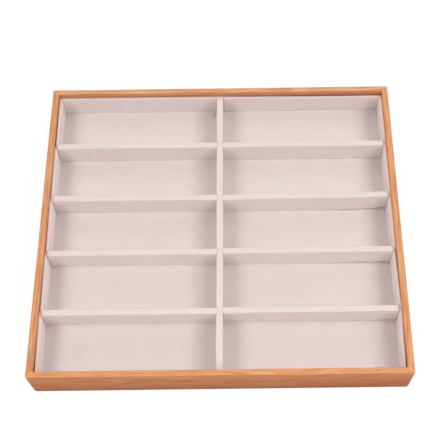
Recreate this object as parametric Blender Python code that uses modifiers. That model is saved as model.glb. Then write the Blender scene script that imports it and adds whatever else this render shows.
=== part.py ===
"""Sunglasses organizer: an open wooden tray with two columns of fabric-lined compartments.

Four mitred rails stand round a base panel that is glued into a rebate along their bottom
edge. A floor board and one sheet of plush fabric lie on the panel. Thin lining boards stand
along the rails, and a centre divider and short cross dividers stand between them, each a
stiff board in its own fabric wrap. The divider ends sit in shallow grooves in the plush.

Units are metres, +Z is up, +X is to the right and +Y is to the back. The origin is the
middle of the underside.
"""

import math

import bmesh
import bpy
from mathutils import Matrix, Vector

# Whole tray
TRAY_WIDTH = 0.360
TRAY_DEPTH = 0.324
TRAY_HEIGHT = 0.039

# Wooden rails
RAIL_THICKNESS = 0.006
RAIL_EDGE_RADIUS = 0.0005
RAIL_CORNER_RADIUS = 0.0012
REBATE_DEPTH = 0.003

# Base panel and floor
BASE_THICKNESS = 0.003
FLOOR_BOARD_THICKNESS = 0.002

# Plush fabric, with its foam backing
FABRIC_THICKNESS = 0.001
FABRIC_FOLD_RADIUS = 0.0014

# Lining along the rails
LINING_BOARD_THICKNESS = 0.0008
LINING_BELOW_RAIL = 0.007

# Dividers
DIVIDER_BOARD_THICKNESS = 0.0032
DIVIDER_BELOW_RAIL = 0.006
GROOVE_DEPTH = 0.0007
ROWS = 5

# Glue line or running gap between neighbouring pieces
GAP = 0.0003

# How far a cutter stands past what it cuts
OVERCUT = 0.002

# Heights of the layers above the underside
FLOOR_BOARD_BOTTOM = BASE_THICKNESS + GAP
FLOOR_FABRIC_BOTTOM = FLOOR_BOARD_BOTTOM + FLOOR_BOARD_THICKNESS + GAP
FLOOR_TOP = FLOOR_FABRIC_BOTTOM + FABRIC_THICKNESS
WALL_BOTTOM = FLOOR_TOP + GAP
LINING_TOP = TRAY_HEIGHT - LINING_BELOW_RAIL
DIVIDER_TOP = TRAY_HEIGHT - DIVIDER_BELOW_RAIL

# Half widths of the nested rectangles, from the rails inwards, as (x, y)
RAIL_INSIDE = Vector((TRAY_WIDTH, TRAY_DEPTH)) / 2 - Vector((RAIL_THICKNESS,) * 2)
LINING_BACK = RAIL_INSIDE - Vector((GAP,) * 2)
LINING_THICKNESS = LINING_BOARD_THICKNESS + GAP + FABRIC_THICKNESS
LINING_FACE = LINING_BACK - Vector((LINING_THICKNESS,) * 2)
GROOVE_FLOOR = LINING_FACE + Vector((GROOVE_DEPTH,) * 2)

# Divider thickness over its fabric, and the row pitch that makes all compartments alike
DIVIDER_THICKNESS = DIVIDER_BOARD_THICKNESS + 2 * (GAP + FABRIC_THICKNESS)
COMPARTMENT_DEPTH = (2 * LINING_FACE.y - (ROWS - 1) * DIVIDER_THICKNESS) / ROWS
ROW_PITCH = COMPARTMENT_DEPTH + DIVIDER_THICKNESS

# Each side of the tray: the turn that brings a wall built for the front round to it
SIDES = {"front": 0, "right": 90, "back": 180, "left": 270}


def clear_scene():
    """Remove every object that the scene holds."""
    for scene_object in list(bpy.data.objects):
        bpy.data.objects.remove(scene_object, do_unlink=True)


def new_collection(name):
    """Make a collection in the scene."""
    collection = bpy.data.collections.new(name)
    bpy.context.scene.collection.children.link(collection)
    return collection


def new_material(name, colour, roughness):
    """Make a Principled material of one plain colour."""
    material = bpy.data.materials.new(name)
    material.use_nodes = True
    shader = material.node_tree.nodes["Principled BSDF"]
    shader.inputs["Base Color"].default_value = (*colour, 1.0)
    shader.inputs["Roughness"].default_value = roughness
    shader.inputs["Metallic"].default_value = 0.0
    return material


def new_box(name, size, centre, collection, material=None):
    """Make a box of the given size with its origin at its middle."""
    bm = bmesh.new()
    bmesh.ops.create_cube(bm, size=1.0, matrix=Matrix.Diagonal((*size, 1.0)))
    mesh = bpy.data.meshes.new(name)
    bm.to_mesh(mesh)
    bm.free()
    box = bpy.data.objects.new(name, mesh)
    box.location = centre
    collection.objects.link(box)
    if material:
        mesh.materials.append(material)
    return box


def cut(target, name, size, centre, turn=0.0):
    """Cut a box out of the target. The cutter's place is given in the target's own frame."""
    cutter = new_box(name, size, centre, cutters)
    cutter.rotation_euler.z = turn
    cutter.parent = target
    cutter.hide_render = True
    cutter.display_type = "WIRE"
    boolean = target.modifiers.new(name, "BOOLEAN")
    boolean.operation = "DIFFERENCE"
    boolean.solver = "EXACT"
    boolean.object = cutter


def add_bevel(target, radius, segments, limit):
    """Round the target's edges."""
    bevel = target.modifiers.new("rounded edges", "BEVEL")
    bevel.width = radius
    bevel.segments = segments
    bevel.limit_method = limit
    bevel.harden_normals = False
    return bevel


def ease_rail_edges(rail):
    """Round the outer vertical corners widely and the edges that a hand meets slightly.

    The bevel is as wide as the corner radius, and an edge's weight scales it down.
    """
    mesh = rail.data
    weights = mesh.attributes.new("bevel_weight_edge", "FLOAT", "EDGE")
    slight = RAIL_EDGE_RADIUS / RAIL_CORNER_RADIUS
    for edge in mesh.edges:
        start, end = (mesh.vertices[index].co for index in edge.vertices)
        middle = (start + end) / 2
        outside = middle.y < 0
        vertical = abs(start.z - end.z) > 0
        top = middle.z > 0
        across = abs(start.y - end.y) > 0
        if vertical and outside:
            weights.data[edge.index].value = 1.0
        elif not vertical and (top or outside or across):
            weights.data[edge.index].value = slight
    add_bevel(rail, RAIL_CORNER_RADIUS, 3, "WEIGHT")


def build_rail(side, length):
    """Make one rail: a batten with a rebate for the base panel and a mitre at each end.

    It is built for the front, with its outer face towards -Y, and then turned to its side.
    """
    rail = new_box(
        f"{side}_rail",
        (length, RAIL_THICKNESS, TRAY_HEIGHT),
        (0.0, 0.0, 0.0),
        parts,
        wood,
    )
    ease_rail_edges(rail)
    rebate_height = BASE_THICKNESS + GAP
    cut(
        rail,
        f"{side}_rebate_cutter",
        (length + 2 * OVERCUT, REBATE_DEPTH + OVERCUT, rebate_height + OVERCUT),
        (
            0.0,
            (RAIL_THICKNESS - REBATE_DEPTH + OVERCUT) / 2,
            (rebate_height - OVERCUT - TRAY_HEIGHT) / 2,
        ),
    )
    saw_side = 3 * RAIL_THICKNESS
    mitre_middle = length / 2 - RAIL_THICKNESS / 2 - GAP / math.sqrt(2)
    saw_reach = saw_side / 2 / math.sqrt(2)
    for end in (-1, 1):
        cut(
            rail,
            f"{side}_mitre_cutter_{'left' if end < 0 else 'right'}",
            (saw_side, saw_side, TRAY_HEIGHT + 2 * OVERCUT),
            (end * (mitre_middle + saw_reach), saw_reach, 0.0),
            turn=math.radians(45),
        )
    return rail


def turn_to_side(wall, side, distance, height):
    """Stand a wall that was built for the front at its own side of the tray."""
    turn = math.radians(SIDES[side])
    outward = Matrix.Rotation(turn, 3, "Z") @ Vector((0.0, -distance, 0.0))
    wall.location = (outward.x, outward.y, height)
    wall.rotation_euler.z = turn


def across(side, along_x, along_y):
    """Pick the value that runs along a side: x for front and back, y for left and right."""
    return along_x if side in ("front", "back") else along_y


def build_frame():
    """Make the four rails and the base panel that closes them from below."""
    for side in SIDES:
        rail = build_rail(side, across(side, TRAY_WIDTH, TRAY_DEPTH))
        half = across(side, TRAY_DEPTH, TRAY_WIDTH) / 2
        turn_to_side(rail, side, half - RAIL_THICKNESS / 2, TRAY_HEIGHT / 2)
    panel_inset = 2 * (RAIL_THICKNESS - REBATE_DEPTH + GAP)
    new_box(
        "base_panel",
        (TRAY_WIDTH - panel_inset, TRAY_DEPTH - panel_inset, BASE_THICKNESS),
        (0.0, 0.0, BASE_THICKNESS / 2),
        parts,
        mdf,
    )


def build_floor():
    """Lay the floor board and its sheet of fabric inside the rails."""
    width, depth = 2 * LINING_BACK
    new_box(
        "floor_board",
        (width, depth, FLOOR_BOARD_THICKNESS),
        (0.0, 0.0, FLOOR_BOARD_BOTTOM + FLOOR_BOARD_THICKNESS / 2),
        parts,
        card,
    )
    new_box(
        "floor_fabric",
        (width, depth, FABRIC_THICKNESS),
        (0.0, 0.0, FLOOR_FABRIC_BOTTOM + FABRIC_THICKNESS / 2),
        parts,
        plush,
    )


def new_fabric_wrap(name, size, bare_sides):
    """Make a wrap of fabric over a board: a box shell that leaves the bare sides open.

    The sides are named by their outward normals. The shell is an open surface with folded,
    rounded edges, and Solidify gives it the thickness of the fabric, inwards.
    """
    wrap = new_box(name, size, (0.0, 0.0, 0.0), parts, plush)
    bm = bmesh.new()
    bm.from_mesh(wrap.data)
    bare = [
        face
        for face in bm.faces
        if any(face.normal.dot(Vector(normal)) > 0.5 for normal in bare_sides)
    ]
    bmesh.ops.delete(bm, geom=bare, context="FACES")
    bm.to_mesh(wrap.data)
    bm.free()
    add_bevel(wrap, FABRIC_FOLD_RADIUS, 3, "ANGLE")
    solidify = wrap.modifiers.new("fabric thickness", "SOLIDIFY")
    solidify.thickness = FABRIC_THICKNESS
    solidify.offset = -1.0
    solidify.use_even_offset = True
    return wrap


def cut_grooves(wrap, face_y, places, height):
    """Press grooves for divider ends into one face of a wrap, at places along its length."""
    for number, place in enumerate(places, 1):
        cut(
            wrap,
            f"{wrap.name}_groove_{'far' if face_y > 0 else 'near'}_{number}",
            (
                DIVIDER_THICKNESS + 2 * GAP,
                2 * GROOVE_DEPTH,
                height + 2 * OVERCUT,
            ),
            (place, face_y, 0.0),
        )


def row_places():
    """Give the y of each cross divider, from the back row to the front."""
    middle = ROWS / 2
    return [(middle - row) * ROW_PITCH for row in range(1, ROWS)]


def build_lining(side):
    """Make one lining: a thin board along the rail, with fabric on its face and over its top.

    The front and back linings run from rail to rail, and the side linings stand between them.
    """
    length = 2 * across(side, LINING_BACK.x, LINING_FACE.y - GAP)
    back = across(side, LINING_BACK.y, LINING_BACK.x)
    board_height = LINING_TOP - FABRIC_THICKNESS - GAP - WALL_BOTTOM
    board = new_box(
        f"{side}_lining_board",
        (length, LINING_BOARD_THICKNESS, board_height),
        (0.0, 0.0, 0.0),
        parts,
        card,
    )
    turn_to_side(board, side, back - LINING_BOARD_THICKNESS / 2, WALL_BOTTOM + board_height / 2)

    fabric_height = LINING_TOP - WALL_BOTTOM
    fabric = new_fabric_wrap(
        f"{side}_lining_fabric",
        (length, LINING_THICKNESS, fabric_height),
        bare_sides=[(0, -1, 0), (0, 0, -1), (1, 0, 0), (-1, 0, 0)],
    )
    groove_places = across(side, [0.0], row_places())
    cut_grooves(fabric, LINING_THICKNESS / 2, groove_places, fabric_height)
    turn_to_side(fabric, side, back - LINING_THICKNESS / 2, WALL_BOTTOM + fabric_height / 2)


def build_divider(label, number, length, centre, turn):
    """Make one divider: a stiff board, and fabric over its top, faces and ends."""
    suffix = f"_{number}" if number else ""
    board_inset = 2 * (FABRIC_THICKNESS + GAP)
    height = DIVIDER_TOP - WALL_BOTTOM
    board_height = height - FABRIC_THICKNESS - GAP
    board = new_box(
        f"{label}_divider_board{suffix}",
        (length - board_inset, DIVIDER_BOARD_THICKNESS, board_height),
        (centre.x, centre.y, WALL_BOTTOM + board_height / 2),
        parts,
        hardboard,
    )
    fabric = new_fabric_wrap(
        f"{label}_divider_fabric{suffix}",
        (length, DIVIDER_THICKNESS, height),
        bare_sides=[(0, 0, -1)],
    )
    fabric.location = (centre.x, centre.y, WALL_BOTTOM + height / 2)
    board.rotation_euler.z = turn
    fabric.rotation_euler.z = turn
    return fabric


def build_dividers():
    """Stand the centre divider from front to back, and the cross dividers in their rows."""
    height = DIVIDER_TOP - WALL_BOTTOM
    centre_length = 2 * (GROOVE_FLOOR.y - GAP)
    centre_fabric = build_divider(
        "centre", None, centre_length, Vector((0.0, 0.0)), math.radians(90)
    )
    for face in (-1, 1):
        cut_grooves(centre_fabric, face * DIVIDER_THICKNESS / 2, row_places(), height)

    inner_end = DIVIDER_THICKNESS / 2 - GROOVE_DEPTH + GAP
    outer_end = GROOVE_FLOOR.x - GAP
    for label, hand in (("left", -1), ("right", 1)):
        for number, place in enumerate(row_places(), 1):
            middle = Vector((hand * (inner_end + outer_end) / 2, place))
            build_divider(label, number, outer_end - inner_end, middle, 0.0)


clear_scene()
parts = new_collection("sunglasses_organizer")
cutters = new_collection("cutters")
wood = new_material("oiled_wood", (0.72, 0.36, 0.14), 0.45)
mdf = new_material("base_mdf", (0.42, 0.29, 0.18), 0.75)
card = new_material("grey_card", (0.40, 0.38, 0.35), 0.90)
hardboard = new_material("divider_hardboard", (0.30, 0.19, 0.11), 0.80)
plush = new_material("greige_plush", (0.72, 0.62, 0.60), 0.95)

build_frame()
build_floor()
for tray_side in SIDES:
    build_lining(tray_side)
build_dividers()
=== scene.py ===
# %% [markdown]
# # A lined wooden tray for sunglasses
#
# The tray is a low frame of mitred wooden rails. Plush fabric over thin card lines its floor
# and walls, and dividers wrapped in the same plush make ten wide compartments, each for one
# folded pair of sunglasses.
#
# The tray's solids are already made and fixed in place. This lesson gives them their looks:
# wood with a grain, soft folded fabric, small gaps and creases, and the light of a studio.
# Every new piece takes its size and place from the solid that it stands for, so nothing has
# to be fitted afterwards.

# %% Load the tray's solids
import math

import bmesh
import bpy
import numpy as np
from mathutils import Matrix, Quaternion, Vector


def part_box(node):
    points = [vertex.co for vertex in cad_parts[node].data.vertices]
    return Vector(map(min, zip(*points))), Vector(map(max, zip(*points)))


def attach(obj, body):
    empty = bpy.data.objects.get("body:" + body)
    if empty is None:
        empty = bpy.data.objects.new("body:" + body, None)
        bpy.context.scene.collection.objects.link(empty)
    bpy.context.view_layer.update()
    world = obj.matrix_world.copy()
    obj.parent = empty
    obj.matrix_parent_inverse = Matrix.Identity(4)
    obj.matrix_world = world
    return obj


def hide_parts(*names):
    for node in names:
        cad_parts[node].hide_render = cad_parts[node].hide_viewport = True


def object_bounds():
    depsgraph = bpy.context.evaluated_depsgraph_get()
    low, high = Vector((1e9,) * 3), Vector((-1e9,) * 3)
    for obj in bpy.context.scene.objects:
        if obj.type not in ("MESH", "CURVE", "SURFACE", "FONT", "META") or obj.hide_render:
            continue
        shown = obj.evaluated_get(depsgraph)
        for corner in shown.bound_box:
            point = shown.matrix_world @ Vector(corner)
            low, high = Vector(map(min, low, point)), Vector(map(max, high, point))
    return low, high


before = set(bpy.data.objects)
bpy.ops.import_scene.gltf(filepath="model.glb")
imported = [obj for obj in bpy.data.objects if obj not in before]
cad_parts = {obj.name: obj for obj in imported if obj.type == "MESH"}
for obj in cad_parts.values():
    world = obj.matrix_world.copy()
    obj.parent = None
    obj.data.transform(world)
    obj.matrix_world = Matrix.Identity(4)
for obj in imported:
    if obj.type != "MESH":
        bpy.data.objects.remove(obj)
cad_low, cad_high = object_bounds()
MM = 0.001


def in_mm(lengths):
    """Give lengths in tenths of a millimetre, for printing."""
    return [round(length / MM, 1) for length in lengths]


print("solids:", len(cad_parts), "size in mm:", in_mm(cad_high - cad_low))

# %% [markdown]
# ## The sizes that everything follows
#
# A maker measures the bare tray before cutting a lining for it. Here the measures are read
# from the solids' boxes. They could also be typed in again, but then a change of the tray
# would leave its finish behind.

# %% Measure the solids
def size_of(node):
    """Give the lengths of a solid's box along X, Y and Z."""
    low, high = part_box(node)
    return high - low


HALF_WIDTH, HALF_DEPTH, TRAY_HEIGHT = cad_high
RAIL_THICKNESS = size_of("front_rail").y
PANEL_LOW, PANEL_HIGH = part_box("base_panel")
FLOOR_LOW, FLOOR_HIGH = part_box("floor_fabric")
FABRIC_THICKNESS = FLOOR_HIGH.z - FLOOR_LOW.z
GLUE_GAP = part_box("floor_board")[0].z - PANEL_HIGH.z

BACK_LINING_LOW, BACK_LINING_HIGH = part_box("back_lining_fabric")
LINING_DEPTH = size_of("back_lining_fabric").y
LINING_TOP = BACK_LINING_HIGH.z
LINING_FACE = Vector((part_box("right_lining_fabric")[0].x, BACK_LINING_LOW.y))

# The plush of a divider swells a little past its solid on each face.
PLUSH_PROUD = 0.25 * MM
DIVIDER_THICKNESS = size_of("left_divider_fabric_1").y + 2 * PLUSH_PROUD
CENTRE_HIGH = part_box("centre_divider_fabric")[1]
DIVIDER_TOP = CENTRE_HIGH.z
thicknesses = [RAIL_THICKNESS, LINING_DEPTH, DIVIDER_THICKNESS]
print("rail, lining and divider, thickness in mm:", in_mm(thicknesses))

# %% [markdown]
# ## Dividers glued by eye
#
# The solids stand at even distances. On the real tray the dividers were glued in by eye: each
# one stands a little off its even place, and two of them bend at their ends. Whatever touches
# a divider, such as a lining that it presses into, asks for its place here, so that all of
# them agree.

# %% Place the rows of dividers
ROW_NUMBERS = [1, 2, 3, 4]
ROW_SHIFTS = {
    # how far each cross divider stands behind its even place, back to front, in millimetres
    "left": [-0.1, -0.9, 0.1, -0.8],
    "right": [-0.2, -0.5, 0.7, -0.3],
}
END_BENDS = {
    # how far the left and the right end of each cross divider bend back, in millimetres
    "left": [(0.0, 0.0), (1.0, 0.0), (0.0, 0.0), (0.0, 0.0)],
    "right": [(0.0, 0.0), (-0.8, 1.2), (0.0, 0.0), (0.0, 0.0)],
}


def rows_of(hand):
    """Give the place along Y of each cross divider of one column: its solid's, and its shift."""
    boxes = [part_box(f"{hand}_divider_fabric_{number}") for number in ROW_NUMBERS]
    middles = [(low.y + high.y) / 2 for low, high in boxes]
    return [middle + MM * shift for middle, shift in zip(middles, ROW_SHIFTS[hand])]


def ends_of(hand, end):
    """Give the places of the left ends (end 0) or the right ends (end 1) of one column."""
    return [row + MM * bends[end] for row, bends in zip(ROWS[hand], END_BENDS[hand])]


ROWS = {hand: rows_of(hand) for hand in ROW_SHIFTS}
WALL_ROWS = {"left": ends_of("left", 0), "right": ends_of("right", 1)}
CENTRE_ROWS = {"left": ends_of("left", 1), "right": ends_of("right", 0)}
for hand, places in ROWS.items():
    print(hand, "dividers at y =", in_mm(places), "mm")

# %% [markdown]
# ## The camera
#
# A product picture of a tray looks down into it, steep enough to show every compartment and
# low enough to show the front rail. The camera is placed the way a photographer would say
# it: what it aims at, how far away it stands, and how steeply it looks down. A longer lens
# from further off keeps the far rail almost as wide as the near one. The picture is a crop
# whose middle lies a little left of where the lens pointed, and the camera's shift says so.

# %% Place the camera
# Lengths are in metres and angles in degrees. The lens and its sensor are in millimetres.
CAMERA_AIM = Vector((0.0217, 0.0062, TRAY_HEIGHT))
CAMERA_DISTANCE = 0.98215
CAMERA_ELEVATION = 61.425
CAMERA_TURN = 0.182
CAMERA_ROLL = -0.873
CAMERA_LENS = 80.148
CAMERA_SENSOR = 36.0
CAMERA_SHIFT = (-0.04958, -0.01203)


def direction_from(turn, elevation):
    """Point from the tray to a place round it. Turn 0 is the front, and 90 is the right side."""
    turn, elevation = math.radians(turn), math.radians(elevation)
    level = math.cos(elevation)
    return Vector((math.sin(turn) * level, -math.cos(turn) * level, math.sin(elevation)))


def add_camera():
    """Stand the camera back from its aim, look at the aim, and roll about the line of sight."""
    camera = bpy.data.objects.new("camera", bpy.data.cameras.new("camera"))
    bpy.context.scene.collection.objects.link(camera)
    camera.data.lens = CAMERA_LENS
    camera.data.sensor_width = CAMERA_SENSOR
    camera.data.shift_x, camera.data.shift_y = CAMERA_SHIFT
    back = direction_from(CAMERA_TURN, CAMERA_ELEVATION)
    camera.location = CAMERA_AIM + back * CAMERA_DISTANCE
    roll = Quaternion((0.0, 0.0, 1.0), math.radians(CAMERA_ROLL))
    camera.rotation_mode = "QUATERNION"
    camera.rotation_quaternion = (-back).to_track_quat("-Z", "Y") @ roll
    bpy.context.scene.camera = camera
    return camera


print("camera at", in_mm(add_camera().location), "mm")

# %% [markdown]
# ## Nodes without the clutter
#
# A material is a small machine of nodes. Wiring it by hand takes three lines for each node,
# so one helper adds a node, sets its choices, and fills each input with a number or with the
# output of another node. The other helpers name the few nodes that come back all the time.

# %% Helpers for nodes
def fill(tree, node, inputs):
    """Set a node's inputs to plain values, or link them where a value is a node's output.

    Inputs are named, or numbered where two share a name.
    """
    for name, value in inputs.items():
        if isinstance(value, bpy.types.NodeSocket):
            tree.links.new(value, node.inputs[name])
        else:
            node.inputs[name].default_value = value


def add_node(tree, kind, inputs=None, **settings):
    """Add a node of this kind, choose its settings and fill its inputs."""
    node = tree.nodes.new(kind)
    for name, value in settings.items():
        setattr(node, name, value)
    fill(tree, node, inputs or {})
    return node


def compute(tree, operation, *values):
    """Do one sum on numbers or outputs, such as ADD, MULTIPLY or ABSOLUTE."""
    inputs = dict(enumerate(values))
    return add_node(tree, "ShaderNodeMath", inputs, operation=operation).outputs[0]


def scaled(tree, vector, scale):
    """Scale a pattern's space along its axes: a large scale packs the pattern tighter."""
    inputs = {0: vector, 1: scale}
    return add_node(tree, "ShaderNodeVectorMath", inputs, operation="MULTIPLY").outputs[0]


def turned(tree, vector, turn, shift=(0.0, 0.0, 0.0)):
    """Turn a pattern's space about its axes, and then shift it."""
    inputs = {"Vector": vector, "Rotation": turn, "Location": shift, "Scale": (1.0, 1.0, 1.0)}
    return add_node(tree, "ShaderNodeMapping", inputs).outputs[0]


def axes_of(tree, vector):
    """Give the x, y and z of a vector."""
    return tuple(add_node(tree, "ShaderNodeSeparateXYZ", {"Vector": vector}).outputs)


def spread(tree, value, low, high, to_low=0.0, to_high=1.0, smooth=False):
    """Stretch the values between low and high over another range, and clip the rest."""
    inputs = {
        "Value": value,
        "From Min": low,
        "From Max": high,
        "To Min": to_low,
        "To Max": to_high,
    }
    kind = "SMOOTHSTEP" if smooth else "LINEAR"
    return add_node(tree, "ShaderNodeMapRange", inputs, interpolation_type=kind).outputs["Result"]


def noise(tree, vector, scale, detail, roughness):
    """Cloudy noise around 0.5, with the given number of clouds to a unit of its vector."""
    inputs = {"Vector": vector, "Scale": scale, "Detail": detail, "Roughness": roughness}
    return add_node(tree, "ShaderNodeTexNoise", inputs).outputs[0]


def mix_colours(tree, share, first, second, blend="MIX"):
    """Mix two colours: share 0 gives the first, and 1 the second."""
    inputs = {0: share, 6: first, 7: second}
    node = add_node(tree, "ShaderNodeMix", inputs, data_type="RGBA", blend_type=blend)
    return node.outputs[2]


def tinted(tree, colour, tint, share=1.0):
    """Multiply a colour by a tint, as far as the share says."""
    return mix_colours(tree, share, colour, tint, "MULTIPLY")


def relief(tree, height, strength, distance):
    """Make bumps out of a height pattern, in which 1 stands for this distance."""
    inputs = {"Height": height, "Strength": strength, "Distance": distance}
    return add_node(tree, "ShaderNodeBump", inputs).outputs[0]


def new_material(name):
    """Make a material, and give its tree, its Principled shader and the Object coordinates."""
    material = bpy.data.materials.new(name)
    material.use_nodes = True
    tree = material.node_tree
    place = add_node(tree, "ShaderNodeTexCoord").outputs["Object"]
    return material, tree, tree.nodes["Principled BSDF"], place


print("node helpers ready")

# %% [markdown]
# ## The stage and its light
#
# The tray lies on a seamless sweep, and four softboxes stand round it: one at each side, a
# low one in front and one behind. Each wall of a compartment shades the floor beside it from
# the softbox behind that wall. That is why the plush is darkest along the ends of the
# compartments. The right softbox is the stronger of the two at the sides, so the floor is
# darker on the left of a wall than on its right. The front one lights the front rail's face.
#
# A lamp's strength is written as the share of the plain level that it gives to a surface
# which faces it: at a plain level of 1, a colour renders about as it is written.

# %% Stand the lamps round the tray
LAMPS = {
    # name: turn and elevation in degrees, distance, width and height in metres, and the share
    # of the plain level
    "left_softbox": (-72.0, 52.0, 1.3, 0.70, 0.40, 0.212),
    "right_softbox": (77.0, 50.0, 1.3, 0.70, 0.40, 0.282),
    "front_softbox": (0.0, 26.0, 0.6, 0.60, 0.30, 0.195),
    "back_softbox": (180.0, 48.0, 0.7, 0.70, 0.40, 0.185),
}


def add_lamp(name, turn, elevation, distance, width, height, share):
    """Aim a softbox at the tray. A share s at a distance d takes a power of s (pi d) squared."""
    lamp = bpy.data.lights.new(name, "AREA")
    lamp.shape = "RECTANGLE"
    lamp.size, lamp.size_y = width, height
    lamp.energy = share * (math.pi * distance) ** 2
    holder = bpy.data.objects.new(name, lamp)
    bpy.context.scene.collection.objects.link(holder)
    towards = direction_from(turn, elevation)
    holder.location = towards * distance
    holder.rotation_mode = "QUATERNION"
    holder.rotation_quaternion = towards.to_track_quat("Z", "Y")


for lamp_name, lamp_facts in LAMPS.items():
    add_lamp(lamp_name, *lamp_facts)
print("lamps:", ", ".join(LAMPS))

# %% [markdown]
# The white around the tray doesn't come from more light. A white world as bright as it looks
# would wash out every shade. So the world gives its light at the ambient share, and the
# Light Path node shows it at full strength only to the camera, to a reflection and through
# something clear. The sweep is topped up to white in the same way, and the tray's own shadow
# still darkens it. Its own colour is a dark grey, so it throws little light at the rails.

# %% Make the world white for the camera and dim for the light
WHITE = (1.0, 1.0, 1.0, 1.0)
AMBIENT = 0.480


def seen_directly(tree):
    """Give 1 where the camera, a reflection or a clear material looks, and 0 for plain light."""
    path = add_node(tree, "ShaderNodeLightPath").outputs
    seen = compute(tree, "MAXIMUM", path["Is Camera Ray"], path["Is Glossy Ray"])
    return compute(tree, "MAXIMUM", seen, path["Is Transmission Ray"])


def build_world():
    """Give the world its ambient share, and show it as white where it is seen directly."""
    world = bpy.data.worlds.new("white studio")
    bpy.context.scene.world = world
    world.use_nodes = True
    tree = world.node_tree
    strength = spread(tree, seen_directly(tree), 0.0, 1.0, AMBIENT, 1.0)
    fill(tree, tree.nodes["Background"], {"Color": WHITE, "Strength": strength})


build_world()
bpy.context.scene.view_settings.view_transform = "Standard"
print("ambient share", AMBIENT)

# %% Lay the sweep under the tray
SWEEP_SIZE = 6.0
SWEEP_COLOUR = (0.20, 0.20, 0.20, 1.0)
SWEEP_TOP_UP = 0.85


def sweep_material():
    """Mix the sweep: grey for light, topped up to white where seen, and clear from below."""
    material = bpy.data.materials.new("white sweep")
    material.use_nodes = True
    tree = material.node_tree
    tree.nodes.remove(tree.nodes["Principled BSDF"])
    plain = add_node(tree, "ShaderNodeBsdfDiffuse", {"Color": SWEEP_COLOUR}).outputs[0]
    top_up = compute(tree, "MULTIPLY", seen_directly(tree), SWEEP_TOP_UP)
    glow = add_node(tree, "ShaderNodeEmission", {"Strength": top_up}).outputs[0]
    lit = add_node(tree, "ShaderNodeAddShader", {0: plain, 1: glow}).outputs[0]
    clear = add_node(tree, "ShaderNodeBsdfTransparent").outputs[0]
    below = add_node(tree, "ShaderNodeNewGeometry").outputs["Backfacing"]
    surface = add_node(tree, "ShaderNodeMixShader", {0: below, 1: lit, 2: clear}).outputs[0]
    fill(tree, tree.nodes["Material Output"], {"Surface": surface})
    return material


def build_sweep():
    """Lay one large square at the height of the tray's underside."""
    half = SWEEP_SIZE / 2
    corners = [(-half, -half, 0.0), (half, -half, 0.0), (half, half, 0.0), (-half, half, 0.0)]
    mesh = bpy.data.meshes.new("sweep")
    mesh.from_pydata(corners, [], [(0, 1, 2, 3)])
    mesh.materials.append(sweep_material())
    sweep = bpy.data.objects.new("sweep", mesh)
    bpy.context.scene.collection.objects.link(sweep)


build_sweep()
print("sweep of", SWEEP_SIZE, "m, topped up by", SWEEP_TOP_UP)

# %% [markdown]
# ## From a grid of points to a piece
#
# Every new piece starts as a grid of points: a section that is carried along a path, loops
# that are stacked on each other, or a height over a plan. Numpy works a whole grid out at
# once. Joining neighbours makes quads, and a grid that meets itself is welded there, so that
# the piece is closed. A closed piece whose volume comes out negative is inside out, and is
# turned round.

# %% Helpers for meshes
WELD_DISTANCE = 1e-6


def grid_faces(rows, columns, closed):
    """Number the quads of a grid. A closed grid joins its last column to its first."""
    numbers = np.arange(rows * columns).reshape(rows, columns)
    if closed:
        numbers = np.column_stack([numbers, numbers[:, 0]])
    corners = (numbers[:-1, :-1], numbers[:-1, 1:], numbers[1:, 1:], numbers[1:, :-1])
    return np.stack(corners, axis=-1).reshape(-1, 4)


def weld_and_turn_out(mesh, closed):
    """Weld points that coincide, and turn a closed mesh's faces outwards."""
    bm = bmesh.new()
    bm.from_mesh(mesh)
    bmesh.ops.remove_doubles(bm, verts=bm.verts, dist=WELD_DISTANCE)
    if closed and bm.calc_volume(signed=True) < 0:
        bmesh.ops.reverse_faces(bm, faces=bm.faces)
    bm.to_mesh(mesh)
    bm.free()


def new_piece(name, grid, material, closed=True, capped=False, sharp=180.0):
    """Make a piece from a grid of points: rows, columns and then x, y and z.

    A capped grid gets a face over its first row and its last. Edges steeper than the angle
    sharp, in degrees, stay sharp, and all others are shaded smooth.
    """
    rows, columns, _ = grid.shape
    faces = grid_faces(rows, columns, closed).tolist()
    if capped:
        faces.append(list(range(columns)))
        faces.append(list(range((rows - 1) * columns, rows * columns))[::-1])
    mesh = bpy.data.meshes.new(name)
    mesh.from_pydata(grid.reshape(-1, 3).tolist(), [], faces)
    weld_and_turn_out(mesh, closed)
    mesh.shade_smooth()
    mesh.set_sharp_from_angle(angle=math.radians(sharp))
    mesh.materials.append(material)
    piece = bpy.data.objects.new(name, mesh)
    bpy.context.scene.collection.objects.link(piece)
    return piece


def finish_piece(piece, node):
    """Let a piece ride with the tray, and stand it for its solid."""
    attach(piece, "root")
    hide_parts(node)
    triangles = sum(len(polygon.vertices) - 2 for polygon in piece.data.polygons)
    print(piece.name, "stands for", node, "with", triangles, "triangles")


print("mesh helpers ready")

# %% [markdown]
# ## The parts of a shape that come back
#
# A few shapes come back all over the tray: a quarter turn from one side to the next, an
# outline with rounded corners, a pressed place with soft edges, and the slow wander of
# anything that was cut and glued by hand.

# %% Helpers for shapes
QUARTER_TURNS = {"front": 0, "right": 1, "back": 2, "left": 3}
QUARTER_TURN = np.array([[0.0, -1.0, 0.0], [1.0, 0.0, 0.0], [0.0, 0.0, 1.0]])
LONG_SIDES = ("front", "back")
WANDER_LENGTHS = np.array([1.0, 0.61, 0.37])
WANDER_SHARES = np.array([0.5, 0.3, 0.2])
ARC_POINTS = 6
STATION_DIGITS = 6


def turned_to(side, points):
    """Turn points made for the front round to a side, by a quarter turn for each side on."""
    return points @ np.linalg.matrix_power(QUARTER_TURN, QUARTER_TURNS[side]).T


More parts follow.
